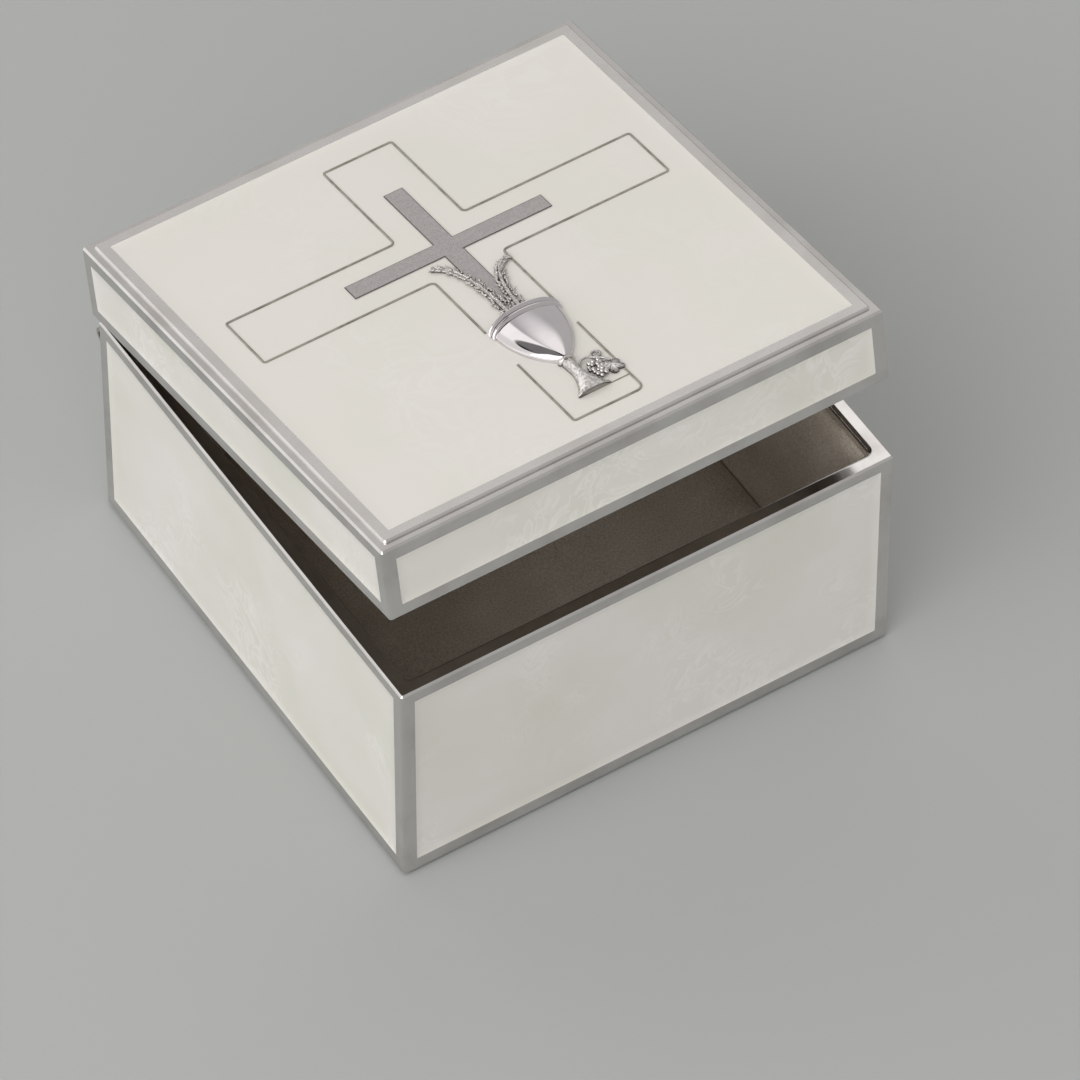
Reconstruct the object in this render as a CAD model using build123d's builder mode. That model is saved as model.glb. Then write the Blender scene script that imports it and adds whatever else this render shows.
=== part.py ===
from build123d import *
from math import atan2, cos, degrees, radians, sin, sqrt
from os import makedirs

# Square keepsake box for a rosary: a cast metal base and lid with enamel filled faces, a lined inside
# and a long knuckled hinge at the back. Millimetres. The origin is the middle of the underside, +Z is up,
# the front faces -Y and the hinge runs along X at +Y. The lid stands slightly ajar.

# ---------------------------------------------------------------- driving dimensions
box_width = 80.0  # outside of the base, left to right
box_depth = 80.0  # outside of the base, front to back
base_height = 38.7  # cast base, underside to rim
lid_height = 12.5  # cast lid, rim to outer ledge
wall_thickness = 2.4  # side walls of the base
floor_thickness = 2.0
lid_overhang = 0.2  # the lid stands out past the base on every side
lid_roof = 1.9  # thickness of the lid under its ledge
corner_radius = 0.4  # outside vertical corners
pocket_radius = 0.8  # inside vertical corners
rim_break = 0.3  # broken edges: outside of the base rim, both sides of the lid rim
rim_round_inner = 0.7
lid_edge_break = 0.3  # top outer edge of the lid
closed_gap = 0.06  # between the two rims when the lid is shut

# Enamel fills in the side faces.
side_border = 2.1  # metal left bare round each fill
side_recess = 0.7

# Felt glued into the underside.
felt_thickness = 1.0
felt_seat = 0.4  # depth of its seat in the base
felt_inset = 2.0

# Raised plate on the lid and its enamel field.
ledge_width = 1.25
plate_rise = 0.45
plate_seat = 0.5
plate_radius = 0.5
plate_edge_break = 0.25
plate_border = 1.75
field_recess = 0.6

# Cross outline: thin wires let into the enamel.
cross_top_margin = 4.8  # from the cross to the edge of the enamel field
cross_foot_margin = 3.2
cross_side_margin = 4.2
cross_shaft_width = 11.5
cross_arm_width = 10.7
cross_arm_drop = 24.6  # middle of the arms below the top of the cross
wire_width = 0.3
wire_corner_radius = 0.7

# Flat cross bar inside the outline.
bar_width = 3.1
bar_top_margin = 9.7  # from its ends to the ends of the outline
bar_side_margin = 17.0

bond_film = 0.02  # under the raised work

# Chalice relief. Lengths run along the cross, reliefs stand above the lid's face.
chalice_foot_margin = 3.6  # from its foot to the foot of the cross
bowl_length = 10.4
bowl_half_width = 5.4
bowl_relief = 1.9
bowl_fullness = 0.8
stem_length = 4.6
stem_half_width = 0.85
stem_relief = 1.0
foot_length = 3.2
foot_half_width = 2.6
foot_relief = 0.8
foot_flare = 2.2
rim_band = 0.5
rim_band_gap = 0.6
rim_band_stand = 0.2
collar_length = 0.6
collar_half_width = 1.25
collar_relief = 1.2
relief_stations = 6
outline_clearance = 1.2  # from the chalice rim up to the cut ends of the outline
left_gap_length = 8.2
right_gap_length = 5.8

# Wheat ears, rising from the chalice rim.
ear_root_x = 1.1
ear_lean = 3.8  # how far the tip swings out
ear_droop = 15.0  # degrees, rise of the tip
left_ear_length = 17.0
right_ear_length = 12.8
ear_bare_length = 2.6
ear_rib_width = 0.5
ear_rib_relief = 0.35
grain_pitch = 1.6
grain_length = 1.9
grain_width = 0.85
grain_shoulder = 0.75  # widest place, from its root
grain_neck = 1.4  # where it starts to run to its point
grain_neck_width = 0.6
grain_relief = 0.4
grain_slope = 35.0  # degrees its sides lean in to the ridge
grain_splay = 24.0  # degrees off the rib

# Vine spray beside the stem.
spray_x = 3.35
spray_rise = 4.0  # top row of grapes above the chalice's foot
grape_radius = 0.62
grape_relief = 0.55
grape_sides = 8
grape_slope = 30.0  # degrees the sides of a grape lean in
grape_pitch = 1.1
grape_rows = 3
leaf_length = 2.0
leaf_lobe_width = 1.1
leaf_relief = 0.45
leaf_spread = 48.0  # degrees between lobes
leaf_bearing = -125.0  # degrees of the middle lobe from straight up
tendril_radius = 0.9
tendril_width = 0.32
tendril_relief = 0.4
tendril_turn = 285.0
tendril_rise = 1.5  # middle of the curl above the top row of grapes
tendril_shift = 0.6

# Lining: cloth covered boards and pads.
lining_thickness = 1.2
lining_drop = 1.3  # bare metal band above the lining, below the inner rounding
lining_round = 0.45
pad_radius = 1.6
floor_pad_thickness = 2.4
floor_pad_break = 0.9
floor_pad_clearance = 0.2
lid_pad_thickness = 1.8
lid_pad_break = 0.7
lid_pad_clearance = 0.4

# Hinge: two leaves with five knuckles on one pin.
hinge_drop = 6.0  # axis below the rim
hinge_margin = 1.4  # from each side of the box to the end of the barrel
knuckle_count = 5
knuckle_radius = 1.5
knuckle_gap = 0.2  # between neighbouring knuckles
knuckle_clearance = 0.25  # round a knuckle in the opposite leaf
leaf_thickness = 0.7
base_leaf_height = 5.5
lid_leaf_grip = 1.7  # height soldered to the lid
leaf_corner_radius = 0.8
hinge_pin_radius = 0.9
hinge_pin_recess = 0.8
hinge_pin_chamfer = 0.2
pin_fixed_clearance = 0.02
pin_running_clearance = 0.05
back_fill_gap = 1.2  # bare metal between the base leaf and the back fill

ajar_angle = 10.0  # degrees the lid stands open at rest

# ---------------------------------------------------------------- derived levels and places
felt_stand = felt_thickness - felt_seat
base_bottom = felt_stand
floor_top = base_bottom + floor_thickness
rim_level = base_bottom + base_height
lid_bottom = rim_level + closed_gap
ledge_level = rim_level + lid_height
plate_top = ledge_level + plate_rise
plate_bottom = ledge_level - plate_seat
field_bottom = plate_top - field_recess
relief_level = plate_top + bond_film
lid_ceiling = ledge_level - lid_roof

inner_width = box_width - 2 * wall_thickness
inner_depth = box_depth - 2 * wall_thickness
lid_width = box_width + 2 * lid_overhang
lid_depth = box_depth + 2 * lid_overhang
plate_width = lid_width - 2 * ledge_width
plate_run = lid_depth - 2 * ledge_width
field_width = plate_width - 2 * plate_border
field_run = plate_run - 2 * plate_border

hinge_y = box_depth / 2 + lid_overhang + knuckle_radius
hinge_z = rim_level - hinge_drop
hinge_axis = Axis((0, hinge_y, hinge_z), (-1, 0, 0))
barrel_length = box_width - 2 * hinge_margin
knuckle_pitch = (barrel_length + knuckle_gap) / knuckle_count
knuckle_length = knuckle_pitch - knuckle_gap
knuckle_starts = [-barrel_length / 2 + knuckle_pitch * step for step in range(knuckle_count)]
base_knuckles = knuckle_starts[0::2]
lid_knuckles = knuckle_starts[1::2]

cross_top = field_run / 2 - cross_top_margin
cross_foot = cross_foot_margin - field_run / 2
cross_length = cross_top - cross_foot
cross_span = field_width - 2 * cross_side_margin
cross_arm_y = cross_top - cross_arm_drop
bar_top = cross_top - bar_top_margin
bar_span = cross_span - 2 * bar_side_margin

foot_end = cross_foot + chalice_foot_margin
stem_end = foot_end + foot_length
bowl_end = stem_end + stem_length
chalice_rim = bowl_end + bowl_length


# ---------------------------------------------------------------- helpers
def side_plane(side, half_width, half_depth, level):
    """Plane on one outside face, its local Y pointing up and its normal pointing out."""
    planes = {
        "front": Plane(origin=(0, -half_depth, level), x_dir=(1, 0, 0), z_dir=(0, -1, 0)),
        "back": Plane(origin=(0, half_depth, level), x_dir=(-1, 0, 0), z_dir=(0, 1, 0)),
        "left": Plane(origin=(-half_width, 0, level), x_dir=(0, -1, 0), z_dir=(-1, 0, 0)),
        "right": Plane(origin=(half_width, 0, level), x_dir=(0, 1, 0), z_dir=(1, 0, 0)),
    }
    return planes[side]


def fill_solid(side, width, depth, low, high):
    """Enamel fill of one side face: a thin block let in from the face, square at its corners."""
    run = width if side in ("front", "back") else depth
    middle = (low + high) / 2
    with BuildPart() as block:
        with BuildSketch(side_plane(side, width / 2, depth / 2, middle)):
            Rectangle(run - 2 * side_border, high - low)
        extrude(amount=-side_recess)
    return block.part


def swing(piece):
    """Turn a lid piece from shut to the slightly open pose in which the box stands."""
    return piece.rotate(hinge_axis, ajar_angle)


sides = ("front", "back", "left", "right")
base_fill_low = base_bottom + side_border
base_fill_high = {side: rim_level - side_border for side in sides}
base_fill_high["back"] = hinge_z - base_leaf_height - back_fill_gap
lid_fill_low = lid_bottom + side_border
lid_fill_high = ledge_level - side_border

base_fills = {
    side: fill_solid(side, box_width, box_depth, base_fill_low, base_fill_high[side])
    for side in sides
}
lid_fills = {
    side: fill_solid(side, lid_width, lid_depth, lid_fill_low, lid_fill_high)
    for side in sides
}

makedirs("parts", exist_ok=True)

# ---------------------------------------------------------------- base
# Cast base: an open square tray with crisp corners, a rounded rim, four shallow seats for the enamel and a
# seat for the felt underneath.
with BuildPart() as base_case:
    with BuildSketch(Plane.XY.offset(base_bottom)):
        RectangleRounded(box_width, box_depth, corner_radius)
    extrude(amount=base_height)
    with BuildSketch(Plane.XY.offset(floor_top)):
        RectangleRounded(inner_width, inner_depth, pocket_radius)
    extrude(amount=base_height, mode=Mode.SUBTRACT)
    rim = base_case.faces().sort_by(Axis.Z)[-1]
    fillet(rim.inner_wires()[0].edges(), rim_round_inner)
    rim = base_case.faces().sort_by(Axis.Z)[-1]
    chamfer(rim.outer_wire().edges(), rim_break)
    with BuildSketch(Plane.XY.offset(base_bottom)):
        RectangleRounded(box_width - 2 * felt_inset, box_depth - 2 * felt_inset, corner_radius)
    extrude(amount=felt_seat, mode=Mode.SUBTRACT)
    for side in sides:
        add(base_fills[side], mode=Mode.SUBTRACT)
base_case.part.label = "base_case"
export_step(base_case.part, "parts/base_case.step")

for side in sides:
    base_fills[side].label = f"base_{side}_enamel"
    export_step(base_fills[side], f"parts/base_{side}_enamel.step")

# Felt glued into the seat, standing proud so that the metal never touches the table.
with BuildPart() as base_felt:
    with BuildSketch():
        RectangleRounded(box_width - 2 * felt_inset, box_depth - 2 * felt_inset, corner_radius)
    extrude(amount=felt_thickness)
base_felt.part.label = "base_felt"
export_step(base_felt.part, "parts/base_felt.step")

# ---------------------------------------------------------------- base lining
lining_height = rim_level - rim_round_inner - lining_drop - floor_top
lining_middle = floor_top + lining_height / 2


def lining_board(side):
    """Cloth covered board glued to one inside wall, rounded along its top edge."""
    along_x = side in ("front", "back")
    run = inner_width - 2 * pocket_radius if along_x else inner_depth - 2 * lining_thickness
    sign = 1 if side in ("back", "right") else -1
    offset = (inner_depth if along_x else inner_width) / 2 - lining_thickness / 2
    centre = (0, sign * offset) if along_x else (sign * offset, 0)
    size = (run, lining_thickness) if along_x else (lining_thickness, run)
    with BuildPart() as board:
        with BuildSketch(Plane.XY.offset(floor_top)):
            with Locations(centre):
                Rectangle(*size)
        extrude(amount=lining_height)
        fillet(board.faces().sort_by(Axis.Z)[-1].edges(), lining_round)
    return board.part


for side in sides:
    lining = lining_board(side)
    lining.label = f"base_{side}_lining"
    export_step(lining, f"parts/base_{side}_lining.step")

with BuildPart() as base_floor_pad:
    with BuildSketch(Plane.XY.offset(floor_top)):
        RectangleRounded(
            inner_width - 2 * (lining_thickness + floor_pad_clearance),
            inner_depth - 2 * (lining_thickness + floor_pad_clearance),
            pad_radius,
        )
    extrude(amount=floor_pad_thickness)
    chamfer(base_floor_pad.faces().sort_by(Axis.Z)[-1].edges(), floor_pad_break)
base_floor_pad.part.label = "base_floor_pad"
export_step(base_floor_pad.part, "parts/base_floor_pad.step")

# ---------------------------------------------------------------- hinge
back_plane = side_plane("back", box_width / 2, box_depth / 2, hinge_z)
lid_back_plane = back_plane.offset(lid_overhang)
lid_leaf_height = hinge_drop + closed_gap + lid_leaf_grip


def barrels(starts, radius):
    """Short cylinders on the hinge axis, one at each station."""
    with BuildPart() as row:
        for start in starts:
            with BuildSketch(Plane.YZ.offset(start)):
                with Locations((hinge_y, hinge_z)):
                    Circle(radius)
            extrude(amount=knuckle_length)
    return row.part


def notches(plane, starts):
    """Blocks that clear one leaf round the knuckles of the other."""
    with BuildPart() as row:
        with BuildSketch(plane):
            for start in starts:
                with Locations((-start - knuckle_length / 2, 0)):
                    Rectangle(knuckle_length + 2 * knuckle_gap, 2 * (knuckle_radius + knuckle_clearance))
        extrude(amount=leaf_thickness)
    return row.part


# Leaf soldered to the back of the base, carrying the first, middle and last knuckle.
with BuildPart() as hinge_base_leaf:
    with BuildSketch(back_plane):
        with Locations((0, -base_leaf_height / 2)):
            Rectangle(barrel_length, base_leaf_height)
    extrude(amount=leaf_thickness)
    fillet(hinge_base_leaf.edges().filter_by(Axis.Y).group_by(Axis.Z)[0], leaf_corner_radius)
    add(notches(back_plane, lid_knuckles), mode=Mode.SUBTRACT)
    add(barrels(base_knuckles, knuckle_radius))
    add(barrels(base_knuckles, hinge_pin_radius + pin_fixed_clearance), mode=Mode.SUBTRACT)
hinge_base_leaf.part.label = "hinge_base_leaf"
export_step(hinge_base_leaf.part, "parts/hinge_base_leaf.step")

# Leaf soldered to the lid, reaching down behind the base to its two knuckles.
with BuildPart() as hinge_lid_leaf:
    with BuildSketch(lid_back_plane):
        with Locations((0, lid_leaf_height / 2)):
            Rectangle(barrel_length, lid_leaf_height)
    extrude(amount=leaf_thickness)
    fillet(hinge_lid_leaf.edges().filter_by(Axis.Y).group_by(Axis.Z)[-1], leaf_corner_radius)
    add(notches(lid_back_plane, base_knuckles), mode=Mode.SUBTRACT)
    add(barrels(lid_knuckles, knuckle_radius))
    add(barrels(lid_knuckles, hinge_pin_radius + pin_running_clearance), mode=Mode.SUBTRACT)
hinge_lid_leaf.part.label = "hinge_lid_leaf"
export_step(swing(hinge_lid_leaf.part), "parts/hinge_lid_leaf.step")

pin_length = barrel_length - 2 * hinge_pin_recess
with BuildPart() as hinge_pin:
    with BuildSketch(Plane.YZ.offset(-pin_length / 2)):
        with Locations((hinge_y, hinge_z)):
            Circle(hinge_pin_radius)
    extrude(amount=pin_length)
    chamfer(hinge_pin.faces().filter_by(Axis.X).edges(), hinge_pin_chamfer)
hinge_pin.part.label = "hinge_pin"
export_step(hinge_pin.part, "parts/hinge_pin.step")

# ---------------------------------------------------------------- lid
# Cast lid: a shallow tray turned over, with seats for its side fills and a shallow seat for the top plate.
with BuildPart() as lid_case:
    with BuildSketch(Plane.XY.offset(lid_bottom)):
        RectangleRounded(lid_width, lid_depth, corner_radius)
    extrude(amount=ledge_level - lid_bottom)
    with BuildSketch(Plane.XY.offset(lid_bottom)):
        RectangleRounded(inner_width, inner_depth, pocket_radius)
    extrude(amount=lid_ceiling - lid_bottom, mode=Mode.SUBTRACT)
    chamfer(lid_case.faces().sort_by(Axis.Z)[-1].edges(), lid_edge_break)
    lid_rim = lid_case.faces().sort_by(Axis.Z)[0]
    chamfer(lid_rim.edges(), rim_break)
    with BuildSketch(Plane.XY.offset(plate_bottom)):
        RectangleRounded(plate_width, plate_run, plate_radius)
    extrude(amount=plate_seat, mode=Mode.SUBTRACT)
    for side in sides:
        add(lid_fills[side], mode=Mode.SUBTRACT)
lid_case.part.label = "lid_case"
export_step(swing(lid_case.part), "parts/lid_case.step")

for side in sides:
    lid_fills[side].label = f"lid_{side}_enamel"
    export_step(swing(lid_fills[side]), f"parts/lid_{side}_enamel.step")

# Raised plate with a broken outer edge and a seat for its enamel field.
with BuildPart() as lid_top_plate:
    with BuildSketch(Plane.XY.offset(plate_bottom)):
        RectangleRounded(plate_width, plate_run, plate_radius)
    extrude(amount=plate_top - plate_bottom)
    chamfer(lid_top_plate.faces().sort_by(Axis.Z)[-1].edges(), plate_edge_break)
    with BuildSketch(Plane.XY.offset(field_bottom)):
        Rectangle(field_width, field_run)
    extrude(amount=field_recess, mode=Mode.SUBTRACT)
lid_top_plate.part.label = "lid_top_plate"
export_step(swing(lid_top_plate.part), "parts/lid_top_plate.step")

# ---------------------------------------------------------------- flat work in the enamel
# Cross outline: a wire of one width, cut away where the chalice crosses it.
outline_gap_top = chalice_rim + outline_clearance
with BuildSketch(Plane.XY.offset(field_bottom)) as cross_face:
    with Locations((0, cross_top - cross_length / 2)):
        Rectangle(cross_shaft_width, cross_length)
    with Locations((0, cross_arm_y)):
        Rectangle(cross_span, cross_arm_width)
    fillet(cross_face.vertices(), wire_corner_radius)

with BuildSketch(Plane.XY.offset(field_bottom)) as outline_face:
    add(cross_face.sketch)
    offset(cross_face.sketch, amount=-wire_width, mode=Mode.SUBTRACT)
    with Locations((-cross_shaft_width / 2, outline_gap_top - left_gap_length / 2)):
        Rectangle(cross_shaft_width, left_gap_length, mode=Mode.SUBTRACT)
    with Locations((cross_shaft_width / 2, outline_gap_top - right_gap_length / 2)):
        Rectangle(cross_shaft_width, right_gap_length, mode=Mode.SUBTRACT)

with BuildPart() as cross_outline:
    extrude(outline_face.sketch, amount=field_recess)
cross_outline.part.label = "cross_outline"
export_step(swing(cross_outline.part), "parts/cross_outline.step")

# Flat cross bar, ground level with the enamel; its shaft runs down to the chalice.
bar_shaft_length = bar_top - chalice_rim
with BuildPart() as cross_bar:
    with BuildSketch(Plane.XY.offset(field_bottom)):
        with Locations((0, bar_top - bar_shaft_length / 2)):
            Rectangle(bar_width, bar_shaft_length)
        with Locations((0, cross_arm_y)):
            Rectangle(bar_span, bar_width)
    extrude(amount=field_recess)
cross_bar.part.label = "cross_bar"
export_step(swing(cross_bar.part), "parts/cross_bar.step")

# Enamel field, ground level with the plate and the metal let into it.
with BuildPart() as lid_top_enamel:
    with BuildSketch(Plane.XY.offset(field_bottom)):
        Rectangle(field_width, field_run)
    extrude(amount=field_recess)
    add(cross_outline.part, mode=Mode.SUBTRACT)
    add(cross_bar.part, mode=Mode.SUBTRACT)
lid_top_enamel.part.label = "lid_top_enamel"
export_step(swing(lid_top_enamel.part), "parts/lid_top_enamel.step")


# ---------------------------------------------------------------- raised work on the enamel
def relief_section(y, half_width, relief):
    """Half ellipse across the line of the cross, its flat side on the lid's face."""
    across = Plane(origin=(0, y, relief_level), x_dir=(1, 0, 0), z_dir=(0, -1, 0))
    with BuildSketch(across) as section:
        with BuildLine():
            crown = EllipticalCenterArc((0, 0), half_width, relief, start_angle=0, arc_size=180)
            Line(crown @ 1, crown @ 0)
        make_face()
    return section.sketch


def relief_loft(top, length, widths, reliefs, shape):
    """Skin half ellipses from one width and relief to another, where shape(t) runs from 0 to 1."""
    sections = []
    for step in range(relief_stations + 1):
        t = step / relief_stations
        share = shape(t)
        half_width = widths[0] + (widths[1] - widths[0]) * share
        relief = reliefs[0] + (reliefs[1] - reliefs[0]) * share
        sections.append(relief_section(top - length * t, half_width, relief))
    with BuildPart() as body:
        loft(sections=sections)
    return body.part


def relief_band(top, length, half_width, relief):
    """Raised band of constant section."""
    with BuildPart() as band:
        extrude(relief_section(top, half_width, relief), amount=length, dir=(0, -1, 0))
    return band.part


def bowl_taper(t):
    """Share of the narrowing from rim to stem: slow at first, then quick, for an egg shaped bowl."""
    return 1 - (1 - t * t) ** bowl_fullness


def foot_taper(t):
    """Share of the widening from stem to foot."""
    return t**foot_flare


# Chalice: an egg shaped bowl under a double rim, a collar, a slim stem and a flared foot.
bowl_widths = (bowl_half_width, stem_half_width)
bowl_reliefs = (bowl_relief, stem_relief)
foot_widths = (stem_half_width, foot_half_width)
foot_reliefs = (stem_relief, foot_relief)
band_half_width = bowl_half_width + rim_band_stand
band_relief = bowl_relief + rim_band_stand
band_tops = (chalice_rim, chalice_rim - rim_band - rim_band_gap)
with BuildPart() as chalice:
    add(relief_loft(chalice_rim, bowl_length, bowl_widths, bowl_reliefs, bowl_taper))
    add(relief_band(bowl_end, stem_length, stem_half_width, stem_relief))
    add(relief_loft(stem_end, foot_length, foot_widths, foot_reliefs, foot_taper))
    for top in band_tops:
        add(relief_band(top, rim_band, band_half_width, band_relief))
    add(relief_band(bowl_end, collar_length, collar_half_width, collar_relief))
chalice.part.label = "chalice"
export_step(swing(chalice.part), "parts/chalice.step")

# One grain of wheat: a pointed husk with flat sides leaning in to a ridge, along +Y from its root.
with BuildPart() as grain:
    with BuildSketch():
        with BuildLine():
            half_husk = Polyline(
                (0, 0),
                (grain_width / 2, grain_shoulder),
                (grain_neck_width / 2, grain_neck),
                (0, grain_length),
            )
            mirror(half_husk, about=Plane.YZ)
        make_face()
    extrude(amount=grain_relief, taper=grain_slope)


def wheat_ear(side, length):
    """Ear of wheat rising from the chalice and drooping to one side: a curved rib set with grains."""
    root = (side * ear_root_x, chalice_rim)
    tip = (side * (ear_root_x + ear_lean), chalice_rim + length)
    droop = (side * cos(radians(ear_droop)), sin(radians(ear_droop)))
    with BuildLine():
        rib_line = Spline(root, tip, tangents=[(0, 1), droop])
    rib_start = Plane(origin=rib_line @ 0, x_dir=(-1, 0, 0), z_dir=rib_line % 0)
    with BuildSketch(rib_start) as rib_section:
        Rectangle(ear_rib_width, ear_rib_relief, align=(Align.CENTER, Align.MIN))
    run = rib_line.length
    pairs = int((run - ear_bare_length) / grain_pitch)
    with BuildPart() as ear:
        sweep(rib_section.sketch, path=rib_line)
        for step in range(pairs + 1):
            t = (ear_bare_length + grain_pitch * step) / run
            heading = rib_line % t
            bearing = degrees(atan2(heading.Y, heading.X)) - 90
            turns = (0,) if step == pairs else (-grain_splay, grain_splay)
            for turn in turns:
                with Locations(Location(rib_line @ t, (0, 0, bearing + turn))):
                    add(grain.part)
    return ear.part.moved(Location((0, 0, relief_level)))


wheat_left = wheat_ear(-1, left_ear_length)
wheat_left.label = "wheat_left"
export_step(swing(wheat_left), "parts/wheat_left.step")

wheat_right = wheat_ear(1, right_ear_length)
wheat_right.label = "wheat_right"
export_step(swing(wheat_right), "parts/wheat_right.step")

# One grape: a low dome with flat sides.
with BuildPart() as grape:
    with BuildSketch():
        RegularPolygon(grape_radius, grape_sides)
    extrude(amount=grape_relief, taper=grape_slope)

# Vine spray: a bunch of grapes narrowing downwards, a lobed leaf and a curled tendril.
spray_top = foot_end + spray_rise
grape_row_drop = grape_pitch * sqrt(3) / 2
leaf_base = (spray_x + grape_pitch, spray_top)
tendril_middle = (spray_x + tendril_shift, spray_top + tendril_rise)
with BuildSketch() as lobe:
    with BuildLine():
        ThreePointArc((0, 0), (leaf_lobe_width / 2, leaf_length / 2), (0, leaf_length))
        ThreePointArc((0, leaf_length), (-leaf_lobe_width / 2, leaf_length / 2), (0, 0))
    make_face()

with BuildPart() as vine_spray:
    for row in range(grape_rows):
        count = grape_rows - row
        for place in range(count):
            x = spray_x + (place - (count - 1) / 2) * grape_pitch
            with Locations((x, spray_top - row * grape_row_drop, relief_level)):
                add(grape.part)
    with BuildSketch(Plane.XY.offset(relief_level)):
        for turn in (-leaf_spread, 0, leaf_spread):
            with Locations(Location(leaf_base, (0, 0, leaf_bearing + turn))):
                add(lobe.sketch)
    extrude(amount=leaf_relief)
    with BuildSketch(Plane.XY.offset(relief_level)):
        with BuildLine():
            CenterArc(tendril_middle, tendril_radius, -90, tendril_turn)
        trace(line_width=tendril_width)
    extrude(amount=tendril_relief)
vine_spray.part.label = "vine_spray"
export_step(swing(vine_spray.part), "parts/vine_spray.step")

# ---------------------------------------------------------------- lid lining
with BuildPart() as lid_lining_pad:
    with BuildSketch(Plane.XY.offset(lid_ceiling)):
        RectangleRounded(
            inner_width - 2 * lid_pad_clearance,
            inner_depth - 2 * lid_pad_clearance,
            pad_radius,
        )
    extrude(amount=-lid_pad_thickness)
    chamfer(lid_lining_pad.faces().sort_by(Axis.Z)[0].edges(), lid_pad_break)
lid_lining_pad.part.label = "lid_lining_pad"
export_step(swing(lid_lining_pad.part), "parts/lid_lining_pad.step")
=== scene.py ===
"""Rosary box: a hinged metal keepsake box with pearl enamel faces, raised silver work and a cloth lining."""

import logging
import math
import random
from dataclasses import dataclass, field, replace
from enum import Enum
from typing import Sequence

import bmesh
import bpy
from bmesh.types import BMEdge, BMesh, BMFace, BMVert
from bpy.types import Material, Mesh, Node, NodeSocket, NodeTree, Object
from mathutils import Matrix, Vector, noise


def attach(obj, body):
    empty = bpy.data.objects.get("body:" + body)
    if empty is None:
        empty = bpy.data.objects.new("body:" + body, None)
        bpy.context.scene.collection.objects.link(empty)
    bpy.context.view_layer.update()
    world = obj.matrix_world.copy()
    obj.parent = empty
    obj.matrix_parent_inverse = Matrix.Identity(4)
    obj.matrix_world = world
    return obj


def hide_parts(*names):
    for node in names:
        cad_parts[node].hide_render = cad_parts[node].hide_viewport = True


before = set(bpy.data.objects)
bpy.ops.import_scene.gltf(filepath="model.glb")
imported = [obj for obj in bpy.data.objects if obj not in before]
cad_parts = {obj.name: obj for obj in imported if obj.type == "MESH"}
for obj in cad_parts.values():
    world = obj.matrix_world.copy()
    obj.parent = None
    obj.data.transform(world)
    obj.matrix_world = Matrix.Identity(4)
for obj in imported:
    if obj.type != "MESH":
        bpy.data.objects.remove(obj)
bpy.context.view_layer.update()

logging.basicConfig(level=logging.INFO, format="%(message)s")
log = logging.getLogger("rosary_box")

MM = 0.001

# Where the lid turns and how far it stands open at rest.
HINGE_POINT = Vector((0.0, 41.7, 33.3))
AJAR = math.radians(10.0)

# Levels and sizes of the castings, in millimetres.
BASE_WIDTH = 80.0
LID_WIDTH = 80.4
INNER_WIDTH = 75.2
FLOOR_TOP = 2.6
BASE_BOTTOM = 0.6
RIM_LEVEL = 39.3
LID_BOTTOM = 39.36
LEDGE_LEVEL = 51.8
LID_CEILING = 49.9
PLATE_TOP = 52.25
FIELD_WIDTH = 74.4
SIDE_BORDER = 2.1
BACK_FILL_TOP = 26.6


class Body(Enum):
    """The two bodies of the frame."""

    BASE = "base"
    LID = "lid"


class Side(Enum):
    """An outside face of the box: its name and the direction it faces."""

    FRONT = ("front", (0.0, -1.0, 0.0))
    BACK = ("back", (0.0, 1.0, 0.0))
    LEFT = ("left", (-1.0, 0.0, 0.0))
    RIGHT = ("right", (1.0, 0.0, 0.0))

    @property
    def label(self) -> str:
        """The side's plain name."""
        return self.value[0]

    @property
    def outward(self) -> Vector:
        """The direction the side faces."""
        return Vector(self.value[1])

    @property
    def opposite(self) -> "Side":
        """The side across the box."""
        return next(side for side in Side if side.outward == -self.outward)


class Slot(Enum):
    """Material slots, one for each kind of finish."""

    POLISHED = "polished_metal"
    RELIEF = "relief_metal"
    WIRE = "dark_wire"
    ENAMEL = "enamel"
    CLOTH = "lining_cloth"
    FELT = "felt"


def lid_at_rest() -> Matrix:
    """Turn that takes a point of the shut lid, in millimetres, to where it stands at rest."""
    there = Matrix.Translation(HINGE_POINT)
    return there @ Matrix.Rotation(AJAR, 4, Vector((-1.0, 0.0, 0.0))) @ there.inverted()


REST = {Body.BASE: Matrix.Identity(4), Body.LID: lid_at_rest()}
LID_FACE = Matrix.Translation((0.0, 0.0, PLATE_TOP))


def upright_plane(side: Side, centre: Vector) -> Matrix:
    """Frame of an upright face.

    Args:
        side: the way the face looks.
        centre: its middle, in millimetres.

    Returns:
        A matrix whose local Z looks outwards and whose local Y is up.
    """
    outward = side.outward
    up = Vector((0.0, 0.0, 1.0))
    across = up.cross(outward)
    turn = Matrix((across, up, outward)).transposed().to_4x4()
    return Matrix.Translation(centre) @ turn


def smooth_step(value: float) -> float:
    """Eases a value from 0 to 1 with flat ends."""
    t = min(max(value, 0.0), 1.0)
    return t * t * (3.0 - 2.0 * t)


# ---------------------------------------------------------------- materials
NodeInputs = dict[str | int, object]
MULTIPLY = {"data_type": "RGBA", "blend_type": "MULTIPLY"}


def hex_colour(code: str) -> tuple[float, float, float, float]:
    """Turns an sRGB hex colour to a linear one.

    Args:
        code: a # and six hex digits.

    Returns:
        Linear red, green, blue and an alpha of 1.
    """
    channels = [int(code[place : place + 2], 16) / 255.0 for place in (1, 3, 5)]
    linear = [c / 12.92 if c <= 0.04045 else ((c + 0.055) / 1.055) ** 2.4 for c in channels]
    return (linear[0], linear[1], linear[2], 1.0)


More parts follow.
